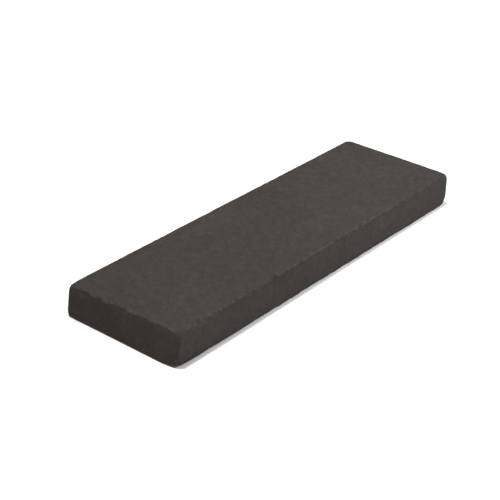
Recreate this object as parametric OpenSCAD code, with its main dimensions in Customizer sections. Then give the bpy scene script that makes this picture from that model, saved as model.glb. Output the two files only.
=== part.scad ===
// Sharpening whetstone: one bonded-abrasive block with rounded arrises.
// The origin is at the centre of the underside, with X along the length and Z up.

/* [Stone] */
// Length of the stone, end to end
stone_length = 100; // [75:1:150]
// Width of each honing face, side to side
stone_width = 29; // [20:1:45]
// Thickness from the underside to the upper honing face
stone_thickness = 7.5; // [6:0.1:15]

/* [Rounding] */
// Radius of the arris where a honing face meets a side or an end
arris_radius = 0.5; // [0.3:0.1:1]
// Radius of the four upright corners, seen from above
corner_radius = 1.5; // [1.2:0.1:4]

/* [Hidden] */
$fn = 64;
stone_colour = [0.29, 0.28, 0.26];
// Centres of the four upright corners
corner_x = stone_length / 2 - corner_radius;
corner_y = stone_width / 2 - corner_radius;

// Flat outline of the given size, centred, with round corners of the given radius
module rounded_outline(across, high, radius) {
    square([across - 2 * radius, high], center = true);
    square([across, high - 2 * radius], center = true);
    for (x = [-1, 1], y = [-1, 1])
        translate([x * (across / 2 - radius), y * (high / 2 - radius)])
            circle(r = radius);
}

// Straight bar along X: the cross-section of the stone between two corners
module bar(length, width) {
    rotate([90, 0, 90])
        linear_extrude(height = length, center = true)
            rounded_outline(width, stone_thickness, arris_radius);
}

// Round pad that rounds one upright corner, with its own arrises
module corner_pad() {
    rotate_extrude()
        intersection() {
            rounded_outline(2 * corner_radius, stone_thickness, arris_radius);
            translate([0, -stone_thickness / 2])
                square([corner_radius, stone_thickness]);
        }
}

// The whole stone: two crossing bars, with a pad at each corner
module stone() {
    color(stone_colour)
        translate([0, 0, stone_thickness / 2]) {
            bar(2 * corner_x, stone_width);
            rotate([0, 0, 90])
                bar(2 * corner_y, stone_length);
            for (x = [-1, 1], y = [-1, 1])
                translate([x * corner_x, y * corner_y, 0])
                    corner_pad();
        }
}

stone();
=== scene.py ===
"""Looks of the sharpening whetstone: one block of dark bonded abrasive, lying flat on a pale floor."""

import math

import bpy
import numpy as np
from mathutils import Matrix, Vector, noise


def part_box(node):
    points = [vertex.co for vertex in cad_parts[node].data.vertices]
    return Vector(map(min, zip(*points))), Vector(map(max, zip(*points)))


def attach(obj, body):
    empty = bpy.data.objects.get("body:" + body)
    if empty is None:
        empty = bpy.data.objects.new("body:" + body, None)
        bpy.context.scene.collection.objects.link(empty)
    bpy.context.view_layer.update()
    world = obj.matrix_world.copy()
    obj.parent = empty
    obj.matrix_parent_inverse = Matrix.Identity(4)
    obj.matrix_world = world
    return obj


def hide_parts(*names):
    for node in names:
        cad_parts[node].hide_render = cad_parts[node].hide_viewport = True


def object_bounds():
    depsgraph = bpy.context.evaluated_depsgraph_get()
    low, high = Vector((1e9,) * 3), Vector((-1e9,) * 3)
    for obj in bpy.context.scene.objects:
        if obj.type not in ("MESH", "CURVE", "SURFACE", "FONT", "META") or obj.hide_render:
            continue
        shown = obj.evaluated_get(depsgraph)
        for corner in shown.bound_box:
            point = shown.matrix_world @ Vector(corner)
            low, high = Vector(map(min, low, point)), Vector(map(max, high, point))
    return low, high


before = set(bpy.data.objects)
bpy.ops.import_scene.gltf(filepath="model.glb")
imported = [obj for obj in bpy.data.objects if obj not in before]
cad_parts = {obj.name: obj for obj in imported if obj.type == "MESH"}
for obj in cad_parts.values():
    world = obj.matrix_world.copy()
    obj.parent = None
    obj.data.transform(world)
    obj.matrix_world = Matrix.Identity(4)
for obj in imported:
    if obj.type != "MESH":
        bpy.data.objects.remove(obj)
cad_low, cad_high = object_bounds()

MM = 0.001
SEED = 7

# ---------------------------------------------------------------- sizes, in millimetres unless noted
stone_low, stone_high = (np.array(corner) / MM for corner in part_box("stone"))
centre = (stone_low + stone_high) / 2
half = (stone_high - stone_low) / 2

skin_inset = 0.06        # the smooth block lies this far inside the CAD box, which leaves room for the grit
foot_inset = 0.02        # the same for the underside, which rests on the floor
rounding_depth = 1.6     # how far inside the skin the centres of the mapped rounding lie

# how far each corner of the pressed block stands in from the skin's, along X and along Y, so that the block
# is a little out of square: (end, side, face) -> mm
corner_draw = {
    (-1, 1, 1): (0.06, 1.14),
    (1, 1, 1): (0.7, 0.13),
    (1, -1, 1): (0.29, 0.45),
    (-1, -1, 1): (0.85, 0.14),
    (-1, 1, -1): (0.66, 0.0),
    (1, 1, -1): (0.3, 0.0),
    (1, -1, -1): (0.0, 0.0),
    (-1, -1, -1): (0.0, 0.01),
}

# mean radius and swing where two faces meet
sharp_arris = (0.38, 0.1)
worked_arris = (0.46, 0.24)
foot_arris = (0.6, 0.15)
arris_limits = (0.15, 1.2)
crumble_size = 2.3       # length over which the radius of an arris changes

# the worked arrises: the top ones at -X and -Y
worked_reach = (1.5, 3.5)   # fully worked within the first distance of the edge, and not beyond the second
blunt_stretch = (0.5, 9.0)  # extra radius of the one at -Y at its -X end, and the length it fades over
blunt_band = 2.0            # that extra radius stays within this distance of the -Y side

# radius of the four upright corners seen from above, at the top and at the underside: (end, side) -> mm
upright_radii = {
    (-1, 1): (0.8, 1.1),
    (-1, -1): (0.6, 1.1),
    (1, -1): (1.0, 1.5),
    (1, 1): (1.6, 1.5),
}

# corners that are worn further: (end, side, face) -> depth along the diagonal, and how gently it runs out
corner_wear = {
    (-1, 1, 1): (0.6, 0.8),
    (-1, 1, -1): (0.35, 0.9),
    (-1, -1, 1): (0.4, 0.8),
    (-1, -1, -1): (0.4, 2.4),
    (1, -1, 1): (0.65, 0.8),
    (1, -1, -1): (1.3, 0.8),
}

# crumbled teeth along every arris: mean spacing, least and greatest radius, least and greatest depth
sharp_teeth = (1.5, (0.5, 1.6), (0.02, 0.1))
worked_teeth = (1.5, (0.7, 2.4), (0.05, 0.36))
tooth_margin = 2.5       # none is nearer than this to a corner
tooth_lean = 45          # mean direction that they are bitten from, in degrees above the level
tooth_lean_swing = 28
ragged_bite = 0.06       # how far the edge of a tooth or chip strays from round

# single larger chips: (end, side, face) of the arris, place along it, radius, depth, degrees above the level
chips = [
    ((-1, 0, 1), 10.2, 4.0, 0.5, 25),
    ((0, -1, 1), -43.5, 2.6, 0.45, 55),
    ((0, -1, 1), 46.0, 2.2, 0.3, 45),
]

# unevenness of the whole skin: height and size of its features
broad_wave = (0.04, 28.0)
short_wave = (0.02, 7.0)
grit = (0.02, 0.9)

# bands that the material tells apart
top_rim_width = 1.5      # along the rim of the upper face, which is lightened as partly rubbed wear and partly painted highlight
wall_rim_width = 0.9     # on the walls, just under that rim, which are darkened as painted shade
unworked_rim = 0.3       # strength of the rim on the upper face where no tool is worked over it
full_break = 0.25        # a break this deep is darkened in full

# spacing of the mesh along X, Y and Z: fine in a band at each edge of the block, and coarse between
edge_band = (2.4, 2.4, 1.4)
fine_step = 0.16
coarse_step = (0.24, 0.58, 0.42)

# solving for the skin
solver_steps = 10
solver_pace = 0.8        # share of the remaining distance that each step closes
bite_reach = 1.2         # points that start further outside a ball than this aren't tested against it


# ---------------------------------------------------------------- mesh helpers
def spaced(reach, band, fine, coarse):
    """Positions from -reach to reach, fine apart in a band at each end and coarse apart between."""
    edge = np.linspace(-reach, -reach + band, round(band / fine) + 1)
    middle = np.linspace(-reach + band, reach - band, round(2 * (reach - band) / coarse) + 1)
    return np.concatenate([edge[:-1], middle, -edge[-2::-1]])


def box_shell(xs, ys, zs):
    """Points and quads of a closed box whose faces are grids at the given positions."""
    sizes = (len(xs), len(ys), len(zs))
    index = np.full(sizes, -1)
    on_skin = np.zeros(sizes, bool)
    for axis in range(3):
        ends = [slice(None)] * 3
        ends[axis] = [0, -1]
        on_skin[tuple(ends)] = True
    index[on_skin] = np.arange(on_skin.sum())
    i, j, k = np.nonzero(on_skin)
    points = np.stack([xs[i], ys[j], zs[k]], axis=1)
    quads = []
    for axis in range(3):
        for end in (0, -1):
            sheet = np.take(index, end, axis=axis)
            turns = [sheet[:-1, :-1], sheet[1:, :-1], sheet[1:, 1:], sheet[:-1, 1:]]
            quad = np.stack(turns, axis=-1).reshape(-1, 4)
            outward = (end == -1) != (axis == 1)
            quads.append(quad if outward else quad[:, ::-1])
    return points, np.concatenate(quads)


def smooth_max(a, b, blend):
    """The larger of a and b, with a round fillet of about the given size where they meet."""
    mix = np.clip(0.5 + 0.5 * (a - b) / blend, 0, 1)
    return b + (a - b) * mix + blend * mix * (1 - mix)


def fractal(points, feature, octaves, offset):
    """Smooth noise of about -1 to 1 at each point, with features of the given size in millimetres.

    Each offset gives another pattern.
    """
    roughness, lacunarity = 0.7, 2.1
    scaled = points / feature + offset
    return np.array([noise.fractal(Vector(p), roughness, lacunarity, octaves) for p in scaled])


def ramp(values, start, end):
    """0 up to start, 1 from end, and straight between."""
    return np.clip((values - start) / (end - start), 0, 1)


# ---------------------------------------------------------------- the worn block as a distance function
def block_distance(points, arris, upright):
    """Signed distance to the rounded block, given the radius of its arrises and uprights at each point."""
    inner = half - skin_inset
    across = np.abs(points[:, :2]) - (inner[:2] - upright[:, None])
    outline = np.linalg.norm(np.maximum(across, 0), axis=1) + np.minimum(across.max(axis=1), 0) - upright
    height = np.abs(points[:, 2]) - inner[2]
    pair = np.stack([outline, height], axis=1) + arris[:, None]
    return np.linalg.norm(np.maximum(pair, 0), axis=1) + np.minimum(pair.max(axis=1), 0) - arris


def wear_corners(distance, points):
    """The distance once the worn corners are ground down."""
    for corner, (depth, softness) in corner_wear.items():
        diagonal = np.array(corner) / math.sqrt(3)
        facet = (points - np.array(corner) * half) @ diagonal + depth
        distance = smooth_max(distance, facet, softness)
    return distance


def is_worked(points):
    """How much each point belongs to the two arrises that tools are worked over."""
    full, none = worked_reach
    near_end = ramp(-points[:, 0], half[0] - none, half[0] - full)
    near_side = ramp(-points[:, 1], half[1] - none, half[1] - full)
    return np.maximum(near_end, near_side) * (points[:, 2] > 0)


def rounding_at(points):
    """Radius of the arris and of the upright corner nearest to each point, and the arris's crumbling."""
    crumble = fractal(points, crumble_size, octaves=2, offset=11.0)
    worked = is_worked(points)
    mean = sharp_arris[0] + (worked_arris[0] - sharp_arris[0]) * worked
    swing = sharp_arris[1] + (worked_arris[1] - sharp_arris[1]) * worked
    extra, fade = blunt_stretch
    mean += extra * np.exp(-(points[:, 0] + half[0]) / fade) * (points[:, 1] < -half[1] + blunt_band)
    low = points[:, 2] < 0
    mean[low], swing[low] = foot_arris
    arris = np.clip(mean + swing * crumble, *arris_limits)

    lift = ramp(points[:, 2], -half[2], half[2])
    upright = np.zeros(len(points))
    for (end, side), (at_top, at_foot) in upright_radii.items():
        here = (points[:, 0] * end > 0) & (points[:, 1] * side > 0)
        upright[here] = (at_foot + (at_top - at_foot) * lift)[here]
    return arris, upright, crumble


def bite_ball(edge, along, radius, bite, lean):
    """Centre of a ball that bites into the arris of the given (end, side, face), one of which is 0."""
    edge = np.array(edge)
    axis = int(np.argmin(np.abs(edge)))
    level = 1 - axis
    on_edge = edge * half
    on_edge[axis] = along
    rounding = rounding_at(on_edge[None, :])[0][0]
    out = np.zeros(3)
    out[level] = edge[level] * math.cos(lean)
    out[2] = edge[2] * math.sin(lean)
    return on_edge - edge * (skin_inset + rounding) + out * (rounding + radius - bite)


def arris_bites(rng):
    """Centres and radii of the balls that bite teeth and chips out of the honing faces' eight arrises."""
    balls = []
    for axis in (0, 1):
        for side in (-1, 1):
            for face in (-1, 1):
                edge = np.array([side, side, face])
                edge[axis] = 0
                worked = face > 0 and side < 0
                spacing, radii, bites = worked_teeth if worked else sharp_teeth
                for _ in range(round(2 * half[axis] / spacing)):
                    along = rng.uniform(-1, 1) * (half[axis] - tooth_margin)
                    radius = rng.uniform(*radii)
                    lean = math.radians(tooth_lean + rng.uniform(-tooth_lean_swing, tooth_lean_swing))
                    balls.append((bite_ball(edge, along, radius, rng.uniform(*bites), lean), radius))
    for edge, along, radius, bite, lean in chips:
        balls.append((bite_ball(edge, along, radius, bite, math.radians(lean)), radius))
    return balls


def draw_in(points):
    """Moves the block's corners in by their own amounts, and everything between them in proportion."""
    share = ramp(points, -half, half)
    shift = np.zeros_like(points)
    for corner, amount in corner_draw.items():
        weight = np.prod([share[:, a] if corner[a] > 0 else 1 - share[:, a] for a in range(3)], axis=0)
        for axis in (0, 1):
            shift[:, axis] -= corner[axis] * amount[axis] * weight
    points += shift


def make_stone():
    lines = [spaced(half[a], edge_band[a], fine_step, coarse_step[a]) for a in range(3)]
    shell, quads = box_shell(*lines)
    core = np.clip(shell, -(half - rounding_depth), half - rounding_depth)
    outward = shell - core
    outward /= np.linalg.norm(outward, axis=1, keepdims=True)
    skin = core + outward * rounding_depth

    arris, upright, crumble = rounding_at(skin)
    wave = broad_wave[0] * fractal(skin, broad_wave[1], octaves=2, offset=5.0)
    wave += short_wave[0] * fractal(skin, short_wave[1], octaves=2, offset=31.0)
    grains = grit[0] * fractal(skin, grit[1], octaves=4, offset=47.0)

    rng = np.random.default_rng(SEED)
    balls = arris_bites(rng)
    near = [np.nonzero(np.linalg.norm(skin - c, axis=1) < r + bite_reach)[0] for c, r in balls]

    # each point slides in or out along its own line until it lies on the worn and bitten block
    reach = np.full(len(skin), rounding_depth)
    for _ in range(solver_steps):
        points = core + outward * reach[:, None]
        distance = wear_corners(block_distance(points, arris, upright), points) - wave
        for (c, r), who in zip(balls, near):
            bite = r + ragged_bite * crumble[who] - np.linalg.norm(points[who] - c, axis=1)
            distance[who] = np.maximum(distance[who], bite)
        reach -= solver_pace * (distance - grains)
    points = core + outward * reach[:, None]
    worn_block = wear_corners(block_distance(points, arris, upright), points)
    below_top = half[2] - points[:, 2]
    inside_wall = (half - np.abs(points))[:, :2].min(axis=1)
    on_top = below_top < inside_wall

    draw_in(points)
    points[:, 2] -= skin_inset - foot_inset
    points = np.clip(points, -half, half)
    place = (points + centre) * MM

    # how near each point of the upper face is to its rim, and each point of the walls to the rim above it:
    # the bands of the rim's painted highlight and of the painted shade under it
    rim_strength = unworked_rim + (1 - unworked_rim) * is_worked(points)
    top_rim_rub_and_highlight = np.clip(1 - inside_wall / top_rim_width, 0, 1) * on_top * rim_strength
    wall_rim_shade = np.clip(1 - below_top / wall_rim_width, 0, 1) * ~on_top
    # how much is broken out of the worn block
    broken = np.clip(-worn_block / full_break, 0, 1)

    mesh = bpy.data.meshes.new("stone_skin")
    mesh.from_pydata(place.tolist(), [], quads.tolist())
    mesh.polygons.foreach_set("use_smooth", np.ones(len(quads), bool))
    for name, values in (("top_rim_rub_and_highlight", top_rim_rub_and_highlight), ("wall_rim_shade", wall_rim_shade), ("broken", broken)):
        mesh.attributes.new(name, "FLOAT", "POINT").data.foreach_set("value", values.astype(np.float32))
    piece = bpy.data.objects.new("whetstone", mesh)
    bpy.context.scene.collection.objects.link(piece)
    return piece


# ---------------------------------------------------------------- materials
class Nodes:
    """A new material's node tree, with short calls for the nodes that the materials here are made of."""

    def __init__(self, name):
        self.material = bpy.data.materials.new(name)
        self.material.use_nodes = True
        self.tree = self.material.node_tree
        self.shader = self.tree.nodes["Principled BSDF"]

    def link(self, source, target):
        self.tree.links.new(source, target)

    def put(self, target, value):
        """Sets a socket to a plain value, or links another node's output to it."""
        if isinstance(value, bpy.types.NodeSocket):
            self.link(value, target)
        else:
            target.default_value = value

    def place(self):
        """Position on the object, in millimetres."""
        coordinates = self.tree.nodes.new("ShaderNodeTexCoord")
        scaled = self.tree.nodes.new("ShaderNodeVectorMath")
        scaled.operation = "SCALE"
        scaled.inputs["Scale"].default_value = 1 / MM
        self.link(coordinates.outputs["Object"], scaled.inputs[0])
        return scaled.outputs["Vector"]

    def stretched(self, place, angle, amount):
        """The place for noise that is drawn out along a level line, at the given angle to X in degrees."""
        node = self.tree.nodes.new("ShaderNodeMapping")
        node.vector_type = "TEXTURE"
        self.link(place, node.inputs["Vector"])
        node.inputs["Rotation"].default_value[2] = math.radians(angle)
        node.inputs["Scale"].default_value[0] = amount
        return node.outputs["Vector"]

    def noise(self, place, feature, detail=2.0, roughness=0.5):
        """Noise of 0 to 1 with features of the given size in millimetres."""
        node = self.tree.nodes.new("ShaderNodeTexNoise")
        self.link(place, node.inputs["Vector"])
        node.inputs["Scale"].default_value = 1 / feature
        node.inputs["Detail"].default_value = detail
        node.inputs["Roughness"].default_value = roughness
        return node.outputs["Fac"]

    def cells(self, place, spacing, output="Distance"):
        """Voronoi cells, spaced in millimetres: the distance to a cell's point, or its random colour."""
        node = self.tree.nodes.new("ShaderNodeTexVoronoi")
        self.link(place, node.inputs["Vector"])
        node.inputs["Scale"].default_value = 1 / spacing
        return node.outputs[output]

    def red(self, colour):
        """The red channel of a colour, as a plain number."""
        node = self.tree.nodes.new("ShaderNodeSeparateColor")
        self.link(colour, node.inputs["Color"])
        return node.outputs["Red"]

    def attribute(self, name):
        node = self.tree.nodes.new("ShaderNodeAttribute")
        node.attribute_name = name
        return node.outputs["Fac"]

    def math(self, operation, a, b):
        node = self.tree.nodes.new("ShaderNodeMath")
        node.operation = operation
        self.put(node.inputs[0], a)
        self.put(node.inputs[1], b)
        return node.outputs["Value"]

    def spread(self, value, low, high, to_low, to_high):
        """Maps the range low to high on to another range, and holds the ends."""
        node = self.tree.nodes.new("ShaderNodeMapRange")
        self.put(node.inputs["Value"], value)
        node.inputs["From Min"].default_value = low
        node.inputs["From Max"].default_value = high
        self.put(node.inputs["To Min"], to_low)
        self.put(node.inputs["To Max"], to_high)
        return node.outputs["Result"]

    def product(self, *factors):
        result = factors[0]
        for factor in factors[1:]:
            result = self.math("MULTIPLY", result, factor)
        return result

    def weighted_sum(self, *terms):
        """The sum of pairs of a value and its weight."""
        total = 0.0
        for value, weight in terms:
            total = self.math("ADD", total, self.math("MULTIPLY", value, weight))
        return total

    def swing(self, value, low, high, amount):
        """A factor that goes from the given amount below 1 to the same above it, between low and high."""
        return self.spread(value, low, high, 1 - amount, 1 + amount)

    def fade(self, share, factor):
        """A factor of 1 where the share is 0, and the given factor where it is 1."""
        return self.spread(share, 0.0, 1.0, 1.0, factor)

    def mix(self, share, a, b):
        """Colour a where the share is 0, and colour b where it is 1."""
        node = self.tree.nodes.new("ShaderNodeMix")
        node.data_type = "RGBA"
        self.put(node.inputs["Factor"], share)
        first, second = [socket for socket in node.inputs if socket.type == "RGBA"]
        self.put(first, a)
        self.put(second, b)
        return [socket for socket in node.outputs if socket.type == "RGBA"][0]

    def scale(self, colour, amount):
        node = self.tree.nodes.new("ShaderNodeVectorMath")
        node.operation = "SCALE"
        self.put(node.inputs[0], colour)
        self.put(node.inputs["Scale"], amount)
        return node.outputs["Vector"]

    def bump(self, height, distance):
        node = self.tree.nodes.new("ShaderNodeBump")
        node.inputs["Distance"].default_value = distance
        self.link(height, node.inputs["Height"])
        return node.outputs["Normal"]


def abrasive_material():
    n = Nodes("bonded_abrasive")
    # everything is drawn a little longer along one level line, askew to the stone's length
    place = n.stretched(n.place(), angle=35, amount=1.35)

    # the bond's own variation, from broad clouds down to single grains
    clouds = n.swing(n.noise(place, feature=17.0, detail=3.0, roughness=0.55), 0.3, 0.7, amount=0.055)
    patches = n.swing(n.noise(place, feature=4.5), 0.3, 0.7, amount=0.045)
    mottle = n.noise(place, feature=1.5, detail=3.0, roughness=0.6)
    mottle_tone = n.swing(mottle, 0.25, 0.75, amount=0.155)
    grain = n.noise(place, feature=0.2, detail=3.0, roughness=0.7)
    grain_tone = n.swing(grain, 0.25, 0.75, amount=0.14)

    # single crystals that catch the light: a lower roughness, and a painted glint that lightens their colour
    crystal_size = 0.36
    picked = n.spread(n.red(n.cells(place, crystal_size, "Color")), 0.93, 0.99, 0.0, 1.0)
    crystal_core = n.spread(n.cells(place, crystal_size), 0.2, 0.45, 1.0, 0.0)
    glinting_crystal = n.product(crystal_core, picked)

    # ragged open pores between the grains
    pore_spacing = 0.8
    ragged_cells = n.weighted_sum((n.cells(place, pore_spacing), 1.0), (grain, 0.4))
    pore = n.spread(ragged_cells, 0.28, 0.44, 1.0, 0.0)

    # the rim of the upper face is rubbed pale in patches, partly wear and partly a painted highlight
    rim_patches = n.spread(n.noise(place, feature=1.3, detail=3.0, roughness=0.7), 0.42, 0.62, -0.5, 1.0)
    rim_rub_and_highlight = n.product(n.attribute("top_rim_rub_and_highlight"), rim_patches)

    # crystals (a painted glint) and the rubbed rim (partly wear, partly painted highlight) are light; pores,
    # the wall just under the rim (painted shade), and breaks are dark
    tone = n.product(
        clouds,
        patches,
        mottle_tone,
        grain_tone,
        n.fade(glinting_crystal, 1.35),
        n.fade(pore, 0.82),
        n.swing(rim_rub_and_highlight, -1.0, 1.0, amount=0.4),
        n.fade(n.attribute("wall_rim_shade"), 0.84),
        n.fade(n.attribute("broken"), 0.88),
    )

    warm = (0.0418, 0.0363, 0.0326, 1)
    cool = (0.0403, 0.0363, 0.0333, 1)
    coolness = n.spread(n.noise(place, feature=5.0, detail=3.0, roughness=0.6), 0.4, 0.6, 0.0, 1.0)
    n.link(n.scale(n.mix(coolness, warm, cool), tone), n.shader.inputs["Base Color"])

    # matt, and a little less so on a crystal
    matt = n.spread(grain, 0.25, 0.75, 0.82, 0.95)
    n.link(n.weighted_sum((matt, 1.0), (glinting_crystal, -0.3)), n.shader.inputs["Roughness"])
    n.shader.inputs["Specular IOR Level"].default_value = 0.08

    # mottling and grains stand proud, pores are sunk, and crystals stick out a little
    relief_depth = 0.12 * MM
    relief = n.weighted_sum((mottle, 1.3), (grain, 0.35), (pore, -0.4), (glinting_crystal, 0.15))
    n.link(n.bump(relief, relief_depth), n.shader.inputs["Normal"])
    return n.material


def floor_material():
    n = Nodes("pale_floor")
    place = n.place()
    pale = (0.88, 0.875, 0.867)
    shade = n.spread(n.noise(place, feature=240.0, detail=3.0), 0.3, 0.7, 0.985, 1.0)
    n.link(n.scale(pale, shade), n.shader.inputs["Base Color"])
    n.link(n.spread(n.noise(place, feature=12.0), 0.3, 0.7, 0.85, 0.95), n.shader.inputs["Roughness"])
    n.shader.inputs["Specular IOR Level"].default_value = 0.1
    return n.material


stone = make_stone()
stone.data.materials.append(abrasive_material())
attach(stone, "root")
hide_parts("stone")

# ---------------------------------------------------------------- floor
floor_reach = 4.0        # metres, to each side
bpy.ops.mesh.primitive_plane_add(size=2 * floor_reach, location=(0, 0, cad_low.z))
floor = bpy.context.object
floor.name = "floor"
floor.data.materials.append(floor_material())


# ---------------------------------------------------------------- camera
def direction_from(azimuth, elevation):
    """Unit vector from the object towards a viewer or lamp: azimuth 0 is at -Y and 90 at +X, in degrees."""
    a, e = math.radians(azimuth), math.radians(elevation)
    return Vector((math.sin(a) * math.cos(e), -math.cos(a) * math.cos(e), math.sin(e)))


# angles in degrees, lens and sensor in millimetres, and the rest in metres
view_azimuth = -54.7
view_elevation = 27.75
view_roll = -4.25
view_distance = 0.302
view_lens = 101.45
aim = Vector((-0.00455, 0.00297, 0.00162))

camera_data = bpy.data.cameras.new("camera")
camera_data.sensor_width = 36
camera_data.lens = view_lens
camera_data.clip_start = 0.01
camera_data.clip_end = 50
camera = bpy.data.objects.new("camera", camera_data)
back = direction_from(view_azimuth, view_elevation)
turn = (-back).to_track_quat("-Z", "Y").to_matrix() @ Matrix.Rotation(math.radians(-view_roll), 3, "Z")
camera.matrix_world = Matrix.Translation(aim + back * view_distance) @ turn.to_4x4()
bpy.context.scene.collection.objects.link(camera)
bpy.context.scene.camera = camera


# ---------------------------------------------------------------- lights
def area_lamp(name, azimuth, elevation, distance, size, power, colour=(1, 1, 1)):
    lamp_data = bpy.data.lights.new(name, "AREA")
    lamp_data.shape = "DISK"
    lamp_data.size = size
    lamp_data.energy = power
    lamp_data.color = colour
    lamp = bpy.data.objects.new(name, lamp_data)
    towards = direction_from(azimuth, elevation)
    lamp.rotation_euler = (-towards).to_track_quat("-Z", "Y").to_euler()
    lamp.location = towards * distance
    bpy.context.scene.collection.objects.link(lamp)


# azimuth and elevation in degrees, distance and disc size in metres, power in watts
area_lamp("overhead", azimuth=-150, elevation=80.5, distance=3.0, size=0.42, power=95)
area_lamp("far_fill", azimuth=34, elevation=46, distance=0.22, size=0.1, power=0.33)
# low lamps for the two near walls, whose light is warmer than the overhead lamp's, at the end most of all
pale_warm = (1.0, 0.93, 0.9)
deep_warm = (1.0, 0.22, 0.18)
area_lamp("side_fill", azimuth=-12, elevation=12, distance=0.8, size=0.3, power=0.52, colour=pale_warm)
area_lamp("end_fill", azimuth=-98, elevation=12, distance=0.6, size=0.3, power=0.18, colour=deep_warm)

world = bpy.data.worlds.new("studio")
world.use_nodes = True
sky = world.node_tree.nodes["Background"]
sky.inputs["Color"].default_value = (1, 0.985, 0.97, 1)
sky.inputs["Strength"].default_value = 0.15
bpy.context.scene.world = world
bpy.context.scene.view_settings.view_transform = "Standard"
